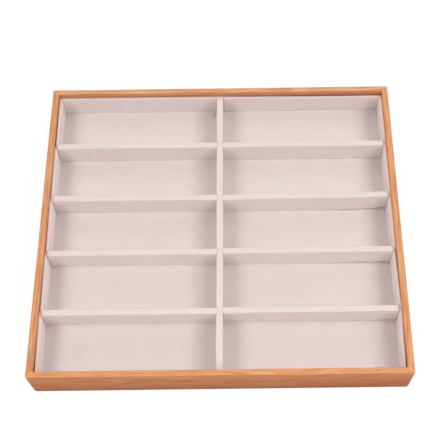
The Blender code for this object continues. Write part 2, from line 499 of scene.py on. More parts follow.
def rounded_outline(corners, radii):
    """Round each corner of a closed outline that has only level and upright lines.

    With unit directions a to the corner before and b to the corner after, the arc at a corner
    P is C - r (b cos t + a sin t). Its centre C is P + r (a + b), and t runs over a quarter turn.
    """
    before = np.roll(corners, 1, axis=0) - corners
    after = np.roll(corners, -1, axis=0) - corners
    before /= np.linalg.norm(before, axis=1, keepdims=True)
    after /= np.linalg.norm(after, axis=1, keepdims=True)
    radius = radii[:, None, None]
    turn = np.linspace(0.0, math.pi / 2, ARC_POINTS)[None, :, None]
    centre = corners[:, None] + radius * (before + after)[:, None]
    arcs = centre - radius * (after[:, None] * np.cos(turn) + before[:, None] * np.sin(turn))
    return arcs.reshape(-1, 2)


def plateau(distance, half_width, slope):
    """Give 1 within half_width of 0, and fall to 0 over the slope beside it, as 3 t t - 2 t t t."""
    share = np.clip((half_width + slope - np.abs(distance)) / slope, 0.0, 1.0)
    return share * share * (3.0 - 2.0 * share)


def wander(place, seed, wavelength):
    """Swing slowly between about -1 and 1: three sine waves of unlike lengths and seeded starts."""
    starts = np.random.default_rng(seed).uniform(0.0, 2.0 * math.pi, len(WANDER_LENGTHS))
    lengths = wavelength * WANDER_LENGTHS
    swings = np.sin(2.0 * math.pi * np.asarray(place)[..., None] / lengths + starts)
    return swings @ WANDER_SHARES


def closer_near(places, low, high, step, close, reach):
    """Spread stations from low to high every step, and every close within reach of each place.

    Of stations less than a quarter of close apart, only the first is kept.
    """
    even = np.linspace(low, high, round((high - low) / step) + 1)
    near = [place + np.arange(-reach, reach + close / 2, close) for place in places]
    stations = np.concatenate([even, *near])
    stations = stations[(stations > low + close / 2) & (stations < high - close / 2)]
    stations = np.unique(np.round(stations, STATION_DIGITS))
    keep = np.concatenate([[True], np.diff(stations) > close / 4])
    return np.concatenate([[low], stations[keep], [high]])


print("shape helpers ready")

# %% [markdown]
# ## Oiled wood
#
# The rails are a warm orange-tan wood with long, straight, streaky grain, oiled to a soft
# satin. Grain is the cut through a tree's growth rings. So the material holds rings round a
# pith that lies far outside the rail and almost along it: on a face they come out as long
# lines that run off its edge at a slight angle. Over them lie fine fibres, slow changes of
# tone, and short dark pores. Painted stripes would be simpler, but they wouldn't carry round
# an edge from one face to the next, as rings do.

# %% Grow the grain
GRAIN_SWAY = 7.0 * MM
SWAYS_PER_METRE = (15.0, 45.0, 45.0)
RING_SPACING = 2.6 * MM
RING_STRETCH = (0.06, 1.0, 1.0)
RING_FACTS = {"Distortion": 5.0, "Detail": 3.0, "Detail Scale": 0.12, "Detail Roughness": 0.6}
# At a scale of 1, Blender's wave texture draws this many rings to a unit.
WAVE_TURNS_PER_UNIT = 20.0 / (2.0 * math.pi)
GRAIN_PATTERNS = {
    # name: clouds to a metre along the grain and across it, detail, roughness
    "fibres": (26.0, 640.0, 4.0, 0.62),
    "tones": (22.0, 210.0, 2.0, 0.5),
    "hues": (14.0, 120.0, 3.0, 0.6),
    "pores": (90.0, 2600.0, 1.0, 0.5),
}


def grain_space(tree, place, turn, pith):
    """Lay the pattern's X along the rail, and sway it sideways by slow noise as grain does."""
    laid = turned(tree, place, turn, pith)
    slow = {"Vector": scaled(tree, laid, SWAYS_PER_METRE), "Scale": 1.0, "Detail": 1.0}
    sway = add_node(tree, "ShaderNodeTexNoise", slow).outputs["Color"]
    inputs = {0: sway, 1: (0.0, GRAIN_SWAY, GRAIN_SWAY), 2: laid}
    return add_node(tree, "ShaderNodeVectorMath", inputs, operation="MULTIPLY_ADD").outputs[0]


def along_grain(tree, grain, pattern):
    """Give noise that is drawn out along the grain, which makes streaks of its clouds."""
    along, across, detail, roughness = GRAIN_PATTERNS[pattern]
    return noise(tree, scaled(tree, grain, (along, across, across)), 1.0, detail, roughness)


def growth_rings(tree, grain):
    """Give the rings round the pith, which lies along X: each darkens slowly and ends sharply."""
    inputs = {
        "Vector": scaled(tree, grain, RING_STRETCH),
        "Scale": 1.0 / (RING_SPACING * WAVE_TURNS_PER_UNIT),
        **RING_FACTS,
    }
    settings = {"wave_type": "RINGS", "rings_direction": "X", "wave_profile": "SAW"}
    return add_node(tree, "ShaderNodeTexWave", inputs, **settings).outputs["Fac"]


print("grain of", ", ".join(GRAIN_PATTERNS), "and rings every", RING_SPACING / MM, "mm")

# %% [markdown]
# The wood isn't one colour all over. It is redder and darker toward the bottom, with a dark
# foot: that is painted shade, where the rail nears the floor. Its faces are a little warmer
# toward the top, a painted tint of light and shade. The inner faces are darker with painted
# shade, deepest by the lining, and pale glue shows in the mitres. All of that follows from
# where a point of the rail lies, so each of the next helpers takes a colour and gives it back
# with one more of these marks on it.

# %% Mark the wood by its place on the rail
# Painted shade that reddens and darkens the wood towards the floor:
WOOD_LOW_SHADE = (0.700, 0.134, 0.030, 1.0)
LOW_SHADE_SHARES = (0.74, 0.04)
HUE_RANGE = (0.32, 0.68, 0.60, 1.40)
# The faces' tint is painted light and shade: warmer at the top, duller below.
FACE_LOW = (0.960, 0.955, 0.900, 1.0)
FACE_HIGH = (1.080, 1.000, 0.950, 1.0)
FACE_HEIGHTS = (0.3 * TRAY_HEIGHT, 0.9 * TRAY_HEIGHT)
OUTER_TOP_RADIUS = 0.7 * MM
# Painted contact shade at the foot of the rails:
WOOD_FOOT_SHADE = (0.200, 0.100, 0.055, 1.0)
FOOT_SHADE_SHARE = 0.75
FOOT_SHADE_HEIGHT = 8.0 * MM
# The pores' colour, which also serves as painted shade on the inner faces:
WOOD_PORE_AND_SHADE = (0.270, 0.090, 0.035, 1.0)
# The inner faces get painted shade between these depths in from the outer face.
INNER_FACE_DEPTHS = (RAIL_THICKNESS - 0.8 * MM, RAIL_THICKNESS - 0.2 * MM)
WOOD_GLUE = (0.900, 0.600, 0.340, 1.0)
GLUE_REACH = (0.25 * MM, 0.75 * MM)
GLUE_SHARES = (0.75, 0.25)


def painted_shade_by_height(tree, colour, height, hues):
    """Paint shade on the wood: redden it downwards in drifting shares, tint its faces, and darken
    its foot.

    The tint of the faces is painted light and shade, warmer at the top and duller below. It
    ends where the top edge is rounded, so the top keeps its colour.
    """
    low_shade_share = spread(tree, height, 0.0, TRAY_HEIGHT, *LOW_SHADE_SHARES)
    low_shade_share = compute(tree, "MULTIPLY", low_shade_share, spread(tree, hues, *HUE_RANGE))
    colour = mix_colours(tree, low_shade_share, colour, WOOD_LOW_SHADE)
    face_tint = mix_colours(tree, spread(tree, height, *FACE_HEIGHTS), FACE_LOW, FACE_HIGH)
    below_top = spread(tree, height, TRAY_HEIGHT - OUTER_TOP_RADIUS, TRAY_HEIGHT, 1.0, 0.0)
    colour = tinted(tree, colour, face_tint, below_top)
    foot_shade_share = spread(tree, height, 0.0, FOOT_SHADE_HEIGHT, FOOT_SHADE_SHARE, 0.0)
    return mix_colours(tree, foot_shade_share, colour, WOOD_FOOT_SHADE)


def painted_inner_shade(tree, colour, depth, height, shares):
    """Paint shade on the inner face, by one share at the lining and another at the top."""
    inside = spread(tree, depth, *INNER_FACE_DEPTHS)
    upwards = spread(tree, height, LINING_TOP, TRAY_HEIGHT, *shares)
    return mix_colours(tree, compute(tree, "MULTIPLY", inside, upwards), colour, WOOD_PORE_AND_SHADE)


def glued_mitres(tree, colour, depth_x, depth_y, y):
    """Draw the glue along a mitre, where a point lies as deep from the side as from the front.

    The line is full up to the first of GLUE_REACH and ends at the second. Its share changes
    from the front corners to the back ones, as GLUE_SHARES says.
    """
    off_mitre = compute(tree, "ABSOLUTE", compute(tree, "SUBTRACT", depth_x, depth_y))
    line = spread(tree, off_mitre, *GLUE_REACH, 1.0, 0.0, smooth=True)
    share = spread(tree, y, -HALF_DEPTH, HALF_DEPTH, *GLUE_SHARES)
    return mix_colours(tree, compute(tree, "MULTIPLY", line, share), colour, WOOD_GLUE)


print("the wood's foot is", FOOT_SHADE_HEIGHT / MM, "mm high")

# %% [markdown]
# Each rail was cut from its own batten. So each one has its own turn of the grain, its own
# rings and a tint, and its own share of painted shade on its inner face. On the back rail the
# tint is in part a painted sheen. One function mixes all four woods.

# %% Mix the oiled wood
WOOD_PALE = (0.875, 0.430, 0.200, 1.0)
WOOD_DARK = (0.560, 0.180, 0.062, 1.0)
# Each of these is two values of a pattern, and what they are spread to.
RING_WEIGHT = (0.0, 1.0, 0.20, 0.48)
FIBRE_WEIGHT = (0.32, 0.68, -0.40, 0.40)
TONE_WEIGHT = (0.34, 0.66, -0.18, 0.18)
PORE_WEIGHT = (0.66, 0.78, 0.0, 0.35)
WOOD_ROUGHNESS = (0.2, 0.8, 0.45, 0.62)
WOOD_SPECULAR = 0.15
WOOD_BUMPS = (0.35, 0.05 * MM)
RING_RELIEF = 0.4
WOOD_CUTS = {
    # side: turn of the grain, middle of the rings, tint, and the shares of painted shade on
    # the inner face at the lining and at the top
    "front": (
        (0.0, 0.020, 0.025),
        (0.0, 0.090, -0.115),
        (0.955, 0.975, 0.96, 1.0),
        (0.60, 0.16),
    ),
    "back": (
        # The back rail's paler, bluer tint is in part a painted sheen, the shine of the back
        # softbox on its top.
        (0.0, -0.015, -0.020),
        (0.4, -0.070, -0.140),
        (0.935, 1.07, 1.27, 1.0),
        (0.55, 0.13),
    ),
    "left": (
        (0.0, 0.020, math.pi / 2 - 0.020),
        (0.9, 0.105, -0.120),
        (0.93, 0.98, 1.02, 1.0),
        (0.20, 0.0),
    ),
    "right": (
        (0.0, -0.020, math.pi / 2 + 0.020),
        (1.7, -0.060, -0.150),
        (0.98, 1.01, 1.05, 1.0),
        (0.30, 0.0),
    ),
}


def oiled_wood(name, turn, pith, tint, inner_shade_shares):
    """Mix the wood of one rail. Turn lays its grain along the rail, and pith is the rings' middle.

    Rings, fibres and tones add up to the share of the dark wood in the pale one.
    """
    material, tree, shader, place = new_material(name)
    grain = grain_space(tree, place, turn, pith)
    rings = growth_rings(tree, grain)
    fibres, tones, hues, pores = (along_grain(tree, grain, kind) for kind in GRAIN_PATTERNS)
    x, y, height = axes_of(tree, place)
    depth_x = compute(tree, "SUBTRACT", HALF_WIDTH, compute(tree, "ABSOLUTE", x))
    depth_y = compute(tree, "SUBTRACT", HALF_DEPTH, compute(tree, "ABSOLUTE", y))

    dark = spread(tree, rings, *RING_WEIGHT)
    dark = compute(tree, "ADD", dark, spread(tree, fibres, *FIBRE_WEIGHT))
    dark = compute(tree, "ADD", dark, spread(tree, tones, *TONE_WEIGHT))
    colour = mix_colours(tree, dark, WOOD_PALE, WOOD_DARK)
    colour = painted_shade_by_height(tree, colour, height, hues)
    depth = compute(tree, "MINIMUM", depth_x, depth_y)
    colour = painted_inner_shade(tree, colour, depth, height, inner_shade_shares)
    pore_share = spread(tree, pores, *PORE_WEIGHT)
    colour = tinted(tree, mix_colours(tree, pore_share, colour, WOOD_PORE_AND_SHADE), tint)
    colour = glued_mitres(tree, colour, depth_x, depth_y, y)

    ridges = compute(tree, "ADD", fibres, compute(tree, "MULTIPLY", rings, RING_RELIEF))
    ridges = compute(tree, "SUBTRACT", ridges, pore_share)
    finish = {
        "Base Color": colour,
        "Roughness": spread(tree, fibres, *WOOD_ROUGHNESS),
        "Specular IOR Level": WOOD_SPECULAR,
        "Normal": relief(tree, ridges, *WOOD_BUMPS),
    }
    fill(tree, shader, finish)
    return material


woods = {side: oiled_wood(f"oiled wood {side}", *cut) for side, cut in WOOD_CUTS.items()}
print("oiled wood for", ", ".join(woods))

# %% [markdown]
# ## The rails
#
# Each rail is a batten with a rebate along its lower inner edge, for the base panel. Both
# ends are sawn at 45 degrees, and the four are glued into a frame whose outer corners are
# then sanded round, more at the bottom than at the top. A rail could be a cube with
# modifiers, but one section carried from mitre to mitre gives all of its edges their own
# radius, and a true hairline where two rails meet.

# %% Carry the rail's section from mitre to mitre
TOP_CORNER_RADIUS = 1.2 * MM
BOTTOM_CORNER_RADIUS = 4.5 * MM
INNER_TOP_RADIUS = 0.5 * MM
OUTER_BOTTOM_RADIUS = 0.5 * MM
REBATE_RADIUS = 0.15 * MM
HAIRLINE = 0.03 * MM
RAIL_STATIONS = 121
RAIL_SHARP_ANGLE = 50.0


def rail_section():
    """Give the rounded section as depth inwards from the outer face, and height."""
    rebate = HALF_WIDTH - PANEL_HIGH.x - GLUE_GAP
    rebate_top = PANEL_HIGH.z + GLUE_GAP
    corners = np.array(
        [
            # depth, height, radius
            (0.0, 0.0, OUTER_BOTTOM_RADIUS),
            (0.0, TRAY_HEIGHT, OUTER_TOP_RADIUS),
            (RAIL_THICKNESS, TRAY_HEIGHT, INNER_TOP_RADIUS),
            (RAIL_THICKNESS, rebate_top, REBATE_RADIUS),
            (rebate, rebate_top, REBATE_RADIUS),
            (rebate, 0.0, REBATE_RADIUS),
        ]
    )
    return rounded_outline(corners[:, :2], corners[:, 2])


def rail_grid(half_length, half_depth):
    """Carry the section along the front rail.

    A point u inwards reaches along the rail as far as the mitre, half_length - u, less the
    hairline. Near the end the outer face turns round the corner: what the corner's radius R
    leaves at the depth u, R - u, is the radius of a circle about the corner's middle.
    """
    depth, height = rail_section().T
    radius = np.interp(height, [0.0, TRAY_HEIGHT], [BOTTOM_CORNER_RADIUS, TOP_CORNER_RADIUS])
    left_of_radius = np.maximum(radius - depth, 0.0)
    deepest = np.maximum(depth, radius)
    reach = half_length - deepest + left_of_radius / math.sqrt(2.0) - HAIRLINE
    shares = np.sin(np.linspace(-math.pi / 2, math.pi / 2, RAIL_STATIONS))
    x = shares[:, None] * reach
    past = np.maximum(np.abs(x) - (half_length - radius), 0.0)
    y = deepest - np.sqrt(np.maximum(left_of_radius**2 - past**2, 0.0)) - half_depth
    return np.stack([x, y, np.broadcast_to(height, x.shape)], axis=-1)


for side in QUARTER_TURNS:
    halves = (HALF_WIDTH, HALF_DEPTH) if side in LONG_SIDES else (HALF_DEPTH, HALF_WIDTH)
    grid = turned_to(side, rail_grid(*halves))
    rail = new_piece(f"{side}_rail_wood", grid, woods[side], capped=True, sharp=RAIL_SHARP_ANGLE)
    finish_piece(rail, f"{side}_rail")

# %% [markdown]
# ## Loops stacked on each other
#
# Boards and wrapped dividers are all rounded boxes, seen from above. Such a loop is a core
# rectangle with a rounding round it. Each column of the grid keeps a share of the core's
# half sizes and a direction of the rounding, and each row says how far its loop is drawn in
# and how high it lies. When a loop is drawn in by half the thickness, its two long sides
# meet in a line, and the weld closes the piece there.

# %% Stack loops into a board
EDGE_POINTS = 4
ENDS_AND_MIDDLE = (-1.0, 0.0, 1.0)


def loop_columns(stations):
    """Give each column its share of the core and its direction, once round the loop."""
    inside = np.asarray(stations)[1:-1]
    shares, directions = [], []
    for number, (share_x, share_y) in enumerate([(1, -1), (1, 1), (-1, 1), (-1, -1)]):
        turn = np.linspace(0.0, math.pi / 2, ARC_POINTS) + (number - 1) * math.pi / 2
        shares.append(np.tile([share_x, share_y], (ARC_POINTS, 1)).astype(float))
        directions.append(np.column_stack([np.cos(turn), np.sin(turn)]))
        if number in (1, 3):
            along = inside[::-1] if number == 1 else inside
            shares.append(np.column_stack([along, np.full(len(along), float(share_y))]))
            directions.append(np.tile([0.0, float(share_y)], (len(along), 1)))
    return np.concatenate(shares), np.concatenate(directions)


def stacked_loops(half_length, half_thickness, corner, inset, height, stations):
    """Work out the grid. A loop drawn in by i keeps a radius of corner - i, if any is left.

    The core's half sizes are then the box's, less the larger of the corner and the inset.
    """
    shares, directions = loop_columns(stations)
    radius = np.maximum(corner - inset, 0.0)[:, None]
    core = np.maximum(corner, inset)[:, None]
    half_length = np.broadcast_to(half_length, inset.shape)[:, None]
    x = (half_length - core) * shares[:, 0] + radius * directions[:, 0]
    y = (half_thickness - core) * shares[:, 1] + radius * directions[:, 1]
    return np.stack([x, y, np.broadcast_to(height[:, None], x.shape)], axis=-1)


def board_grid(low, high, corner, edge, stations=ENDS_AND_MIDDLE):
    """Stack the loops of a flat board between two corners, with its edges eased by a radius."""
    size = (high - low) / 2
    centre = (high + low) / 2
    lies_along_y = size.y > size.x
    half_length, half_thickness = max(size.xy), min(size.xy)
    turn = np.linspace(0.0, math.pi / 2, EDGE_POINTS)
    inset = edge * (1.0 - np.sin(turn))
    drop = edge * (1.0 - np.cos(turn))
    inset = np.concatenate([[half_thickness], inset, inset[::-1], [half_thickness]])
    height = np.concatenate([[0.0], drop, 2 * size.z - drop[::-1], [2 * size.z]]) + low.z
    grid = stacked_loops(half_length, half_thickness, corner, inset, height, stations)
    if lies_along_y:
        grid = grid @ QUARTER_TURN.T
    return grid + np.array([centre.x, centre.y, 0.0])


print("a loop has", len(loop_columns(ENDS_AND_MIDDLE)[0]), "columns at least")

# %% [markdown]
# ## Boards that stiffen the tray
#
# Under the plush everything is a board: fibreboard below, card on the floor and along the
# walls, hardboard in the dividers. Only the base panel shows, from below. All of them get
# plain but true finishes: grey card has flecks of paper, and pressed boards have short pale
# or dark fibres that lie across each other.

# %% Mix the fibreboard, the card and the hardboard
BOARD_CLOUDS = (45.0, 3.0, 0.6)
CLOUD_SHADES = (0.3, 0.7, 0.88, 1.08)
# Each layer of fibres: how tightly it is packed along X, Y and Z, and its turn about Z.
FIBRES_ALONG = ((1.0, 2.4, 1.0), 0.6)
FIBRES_ACROSS = ((2.4, 1.0, 1.0), 0.3)
# The detail and roughness of both, and the noise from which a fleck shows and is full.
FIBRE_NOISE = (3.0, 0.7)
ALONG_LEVELS = (0.50, 0.70)
ACROSS_LEVELS = (0.55, 0.72)
BOARD_BUMPS = (0.3, 0.05 * MM)
BOARD_FINISHES = {
    # slot: name, colour, the flecks' colour, flecks to a metre, their share, and roughness
    "base_mdf": (
        "base fibreboard", (0.42, 0.28, 0.17, 1.0), (0.56, 0.41, 0.27, 1.0), 900.0, 0.5, 0.75,
    ),
    "grey_card": (
        "grey card", (0.40, 0.38, 0.35, 1.0), (0.22, 0.21, 0.20, 1.0), 700.0, 0.6, 0.9,
    ),
    "divider_hardboard": (
        "divider hardboard", (0.30, 0.19, 0.11, 1.0), (0.18, 0.10, 0.05, 1.0), 600.0, 0.6, 0.8,
    ),
}


def lying_fibres(tree, place, flecks_per_metre, packing, turn):
    """Give noise in short streaks, as fibres have that were pressed flat."""
    laid = scaled(tree, turned(tree, place, (0.0, 0.0, turn)), packing)
    return noise(tree, laid, flecks_per_metre, *FIBRE_NOISE)


def pressed_board(name, colour, fleck, flecks_per_metre, fleck_share, roughness):
    """Mix a matt board: a flat tone with soft clouds, and two layers of short fibres."""
    material, tree, shader, place = new_material(name)
    shade = spread(tree, noise(tree, place, *BOARD_CLOUDS), *CLOUD_SHADES)
    grey = add_node(tree, "ShaderNodeCombineColor", {0: shade, 1: shade, 2: shade}).outputs[0]
    along = lying_fibres(tree, place, flecks_per_metre, *FIBRES_ALONG)
    across = lying_fibres(tree, place, flecks_per_metre, *FIBRES_ACROSS)
    colour = tinted(tree, colour, grey)
    flecks_along = spread(tree, along, *ALONG_LEVELS, 0.0, fleck_share)
    flecks_across = spread(tree, across, *ACROSS_LEVELS, 0.0, fleck_share)
    colour = mix_colours(tree, flecks_along, colour, fleck)
    colour = mix_colours(tree, flecks_across, colour, fleck)
    bumps = relief(tree, along, *BOARD_BUMPS)
    fill(tree, shader, {"Base Color": colour, "Roughness": roughness, "Normal": bumps})
    return material


boards = {slot: pressed_board(*facts) for slot, facts in BOARD_FINISHES.items()}
for node_name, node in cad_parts.items():
    if "_board" in node_name:
        slot = "divider_hardboard" if "divider" in node_name else "grey_card"
        node.material_slots[0].material = boards[slot]
print("boards finished:", ", ".join(boards))

# %% Fit the base panel into its rebate
PANEL_CLEARANCE = 0.10 * MM
PANEL_EDGE = 0.25 * MM
PANEL_CORNER = 0.5 * MM
BOARD_SHARP_ANGLE = 40.0


def finish_board(name, grid, slot, node):
    """Make a board from its grid, in the finish of its slot, and stand it for its solid."""
    board = new_piece(name, grid, boards[slot], sharp=BOARD_SHARP_ANGLE)
    finish_piece(board, node)


room = Vector((GLUE_GAP - PANEL_CLEARANCE, GLUE_GAP - PANEL_CLEARANCE, 0.0))
panel_grid = board_grid(PANEL_LOW - room, PANEL_HIGH + room, PANEL_CORNER, PANEL_EDGE)
finish_board("base_panel_board", panel_grid, "base_mdf", "base_panel")

# %% [markdown]
# ## Plush
#
# The lining is a short, soft plush in a pinkish greige. At arm's length it looks almost
# plain, with slow patches where the nap lies a little differently and faint lines where it
# was brushed. Close up it is a fine, even fuzz. A matt shader with a little sheen gives the
# pale rim that a nap has where it is seen edge on, and a fine bump breaks up the light. Real
# hairs would cost millions of faces for the same look.
#
# Two marks on the nap are painted light and shade. Low down at the ends of the compartments,
# where the walls shade it, the plush is darkened with painted shade. On the tops of the
# walls and dividers it is a touch warmer, as a painted tint of light.

# %% Paint shade on the nap at the ends of the compartments
# From the first distance to the second, the share of painted shade falls from the third
# value to the fourth.
END_SHADE_AT_CENTRE = (9.0 * MM, 17.5 * MM, 0.20, 0.0)
END_SHADE_AT_WALL = (6.0 * MM, 17.5 * MM, 0.37, 0.0)
END_SHADE_HEIGHTS = (22.0 * MM, 31.0 * MM, 1.0, 0.0)


def painted_end_shade(tree, place):
    """Give the share of painted shade: low down, and close to an end of a compartment.

    The share is level next to the centre divider and next to a side lining, and then fades.
    """
    x, _, height = axes_of(tree, place)
    sideways = compute(tree, "ABSOLUTE", x)
    from_centre = compute(tree, "SUBTRACT", sideways, DIVIDER_THICKNESS / 2)
    from_wall = compute(tree, "SUBTRACT", LINING_FACE.x, sideways)
    at_centre = spread(tree, from_centre, *END_SHADE_AT_CENTRE, smooth=True)
    at_wall = spread(tree, from_wall, *END_SHADE_AT_WALL, smooth=True)
    low_down = spread(tree, height, *END_SHADE_HEIGHTS, smooth=True)
    return compute(tree, "MULTIPLY", compute(tree, "ADD", at_centre, at_wall), low_down)


# The painted shade reaches this far from the ends.
print("nap pressed up to", in_mm([END_SHADE_AT_CENTRE[1], END_SHADE_AT_WALL[1]]), "mm from the ends")

# %% [markdown]
# Deep in a crease, a real nap passes light on from fibre to fibre, and a plain surface
# doesn't. So each plush piece stores how deep in a crease its points lie, in an attribute
# called crease, and its material raises the colour there by a few percent. That is painted
# light: it lifts the shade low on the walls and on the floor at their feet.

# %% Mark where a piece gets painted light in its creases
FILL_LIGHT_REACH = 3.5 * MM
FILL_LIGHT_HEIGHTS = (8.0 * MM, 27.0 * MM)


def mark_painted_fill(piece, share_at):
    """Store how deep in a crease each point lies, from 0 to 1, for its material's painted light."""
    points = np.empty(3 * len(piece.data.vertices), dtype=np.float32)
    piece.data.vertices.foreach_get("co", points)
    share = share_at(*points.reshape(-1, 3).T.astype(float))
    attribute = piece.data.attributes.new("crease", "FLOAT", "POINT")
    attribute.data.foreach_set("value", share.astype(np.float32))


def low_on_a_wall(x, y, z):
    """Give 1 up to the first of FILL_LIGHT_HEIGHTS, and 0 from the second up."""
    low, high = FILL_LIGHT_HEIGHTS
    return plateau(z, low, high - low)


print("creases reach", in_mm([FILL_LIGHT_REACH, FILL_LIGHT_HEIGHTS[1]]), "mm out and up")

# %% Mix the plush
PLUSH_COLOUR = (0.835, 0.735, 0.718, 1.0)
PLUSH_SHADE = (0.740, 0.640, 0.622, 1.0)
PLUSH_LIGHT = (0.870, 0.750, 0.722, 1.0)
# Painted shade for the ends of the compartments:
PLUSH_END_SHADE = (0.520, 0.440, 0.430, 1.0)
# Painted light: a touch warmer on the tops of walls and dividers.
PLUSH_TOP_LIGHT_TINT = (1.000, 0.975, 0.965, 1.0)
# Painted light, which lifts the shade low on the walls and at their feet.
PLUSH_PAINTED_FILL = (1.030, 1.070, 1.070, 1.0)
TOP_LIGHT_HEIGHTS = (LINING_TOP - 1.0 * MM, DIVIDER_TOP)
BRUSH_STROKES = (60.0, 900.0, 500.0)
PLUSH_PATTERNS = {
    # name: clouds to a metre, detail, roughness. Of the brushed lines, BRUSH_STROKES says how
    # many lie to a metre along X, Y and Z.
    "patches": (38.0, 3.0, 0.55),
    "brushed": (1.0, 3.0, 0.6),
    "nap": (2100.0, 3.0, 0.7),
    "tufts": (750.0, 2.0, 0.6),
}
PLUSH_SHARES = {
    # name: the noise from which it shows and at which it is full, and its shares there
    "patches": (0.35, 0.70, 0.0, 0.30),
    "brushed": (0.35, 0.70, 0.0, 0.16),
    "nap": (0.45, 0.75, 0.0, 0.45),
    "tufts": (0.50, 0.80, 0.0, 0.35),
}
TUFT_RELIEF = 1.5
PLUSH_BUMPS = (0.5, 0.12 * MM)
PLUSH_FINISH = {
    "Roughness": 0.95,
    "Specular IOR Level": 0.2,
    "Sheen Weight": 0.30,
    "Sheen Roughness": 0.5,
    "Sheen Tint": (0.95, 0.86, 0.84, 1.0),
}


def plush(name, painted_lightness=1.0, pressed=True):
    """Mix the plush: slow patches, brushed lines and a fine nap, in colour and in relief.

    Painted lightness multiplies the colour: a lighter copy of the plush, as painted light.
    """
    material, tree, shader, place = new_material(name)
    fuzz, share = {}, {}
    for kind, facts in PLUSH_PATTERNS.items():
        space = scaled(tree, place, BRUSH_STROKES) if kind == "brushed" else place
        fuzz[kind] = noise(tree, space, *facts)
        share[kind] = spread(tree, fuzz[kind], *PLUSH_SHARES[kind])
    shaded = compute(tree, "ADD", share["patches"], share["brushed"])
    colour = mix_colours(tree, shaded, PLUSH_COLOUR, PLUSH_SHADE)
    colour = mix_colours(tree, share["nap"], colour, PLUSH_SHADE)
    colour = mix_colours(tree, share["tufts"], colour, PLUSH_LIGHT)
    colour = tinted(tree, colour, (painted_lightness, painted_lightness, painted_lightness, 1.0))

    height = axes_of(tree, place)[2]
    # The tops are tinted a touch warmer, as painted light.
    colour = tinted(tree, colour, PLUSH_TOP_LIGHT_TINT, spread(tree, height, *TOP_LIGHT_HEIGHTS))
    # Painted light lifts the colour low on the walls and at their feet.
    crease = add_node(tree, "ShaderNodeAttribute", attribute_name="crease").outputs["Fac"]
    colour = tinted(tree, colour, PLUSH_PAINTED_FILL, crease)
    # The pressed switch lays painted shade at the ends of the compartments.
    if pressed:
        colour = mix_colours(tree, painted_end_shade(tree, place), colour, PLUSH_END_SHADE)

    tufts = compute(tree, "MULTIPLY", fuzz["tufts"], TUFT_RELIEF)
    bumps = relief(tree, compute(tree, "ADD", fuzz["nap"], tufts), *PLUSH_BUMPS)
    fill(tree, shader, {"Base Color": colour, "Normal": bumps, **PLUSH_FINISH})
    return material


# The side linings take a lighter copy of the plush, as painted light.
SIDE_PAINTED_LIGHT = 1.09
greige_plush = plush("greige plush")
side_plush_painted_light = plush("greige plush painted lighter", SIDE_PAINTED_LIGHT, pressed=False)
centre_plush = plush("greige plush of the centre", pressed=False)
print("plush colour", PLUSH_COLOUR[:3])

# %% [markdown]
# ## The floor's plush
#
# One sheet of plush lies under the whole grid. The dividers and linings stand on it and
# press it flat, and between them it swells a little. In one corner it was pushed together
# as it was glued and kept a few small creases. A height over a plan shows all of that. The
# plan's lines lie closer together where the sheet bends more.

# %% Lay the floor's plush
FLOOR_SWELL = 0.12 * MM
FLOOR_SETTLE = 0.4 * MM
FLOOR_WAVE = 0.07 * MM
FLOOR_WAVELENGTHS = (0.11, 0.07)
FLOOR_SLANT = 0.4
FLOOR_SEEDS = (3, 4)
# The step between stations, the close step, and how far the close ones reach from an edge.
FLOOR_STEPS = (5.0 * MM, 0.3 * MM, 1.5 * MM)
CREASES = [
    # start x and y, end x and y, height and half width, in millimetres
    (-6.7, 152.4, -9.0, 144.8, 1.90, 0.48),
    (-5.2, 152.2, -7.4, 145.2, 1.50, 0.40),
    (-11.1, 151.0, -11.4, 143.6, 0.75, 0.55),
]
CREASED_X = [-11.0 * MM, -8.5 * MM, -6.0 * MM]
CREASED_Y = [145.0 * MM, 148.0 * MM, 151.0 * MM]


def distance_to_walls(x, y):
    """Give the way to the nearest wall or divider that stands on the floor, and 0 under it."""
    half = DIVIDER_THICKNESS / 2
    sideways = np.minimum(np.abs(x) - half, LINING_FACE.x - np.abs(x))
    rows = np.where(x[..., None] < 0.0, ROWS["left"], ROWS["right"])
    to_rows = np.min(np.abs(y[..., None] - rows) - half, axis=-1)
    lengthways = np.minimum(to_rows, LINING_FACE.y - np.abs(y))
    return np.maximum(np.minimum(sideways, lengthways), 0.0)


def close_to_a_wall(x, y, z):
    """Give 1 at the foot of a wall, and less with the distance, as exp(-distance / reach)."""
    return np.exp(-distance_to_walls(x, y) / FILL_LIGHT_REACH)


def crease_height(x, y):
    """Add up the creases. Each is a ridge: a bell across its line and an arch along it."""
    total = np.zeros_like(x)
    for crease in CREASES:
        x0, y0, x1, y1, height, half_width = (MM * value for value in crease)
        length = math.hypot(x1 - x0, y1 - y0)
        along = ((x - x0) * (x1 - x0) + (y - y0) * (y1 - y0)) / length**2
        across = ((x - x0) * (y1 - y0) - (y - y0) * (x1 - x0)) / length
        arch = np.sqrt(np.clip(4.0 * along * (1.0 - along), 0.0, None))
        total += height * arch * np.exp(-((across / half_width) ** 2))
    return total


def floor_waves(x, y):
    """Add two slow waves, one from side to side and one that runs slanting to the front."""
    seeds, lengths = FLOOR_SEEDS, FLOOR_WAVELENGTHS
    slanting = wander(y + FLOOR_SLANT * x, seeds[1], lengths[1])
    return FLOOR_WAVE * (wander(x, seeds[0], lengths[0]) + slanting)


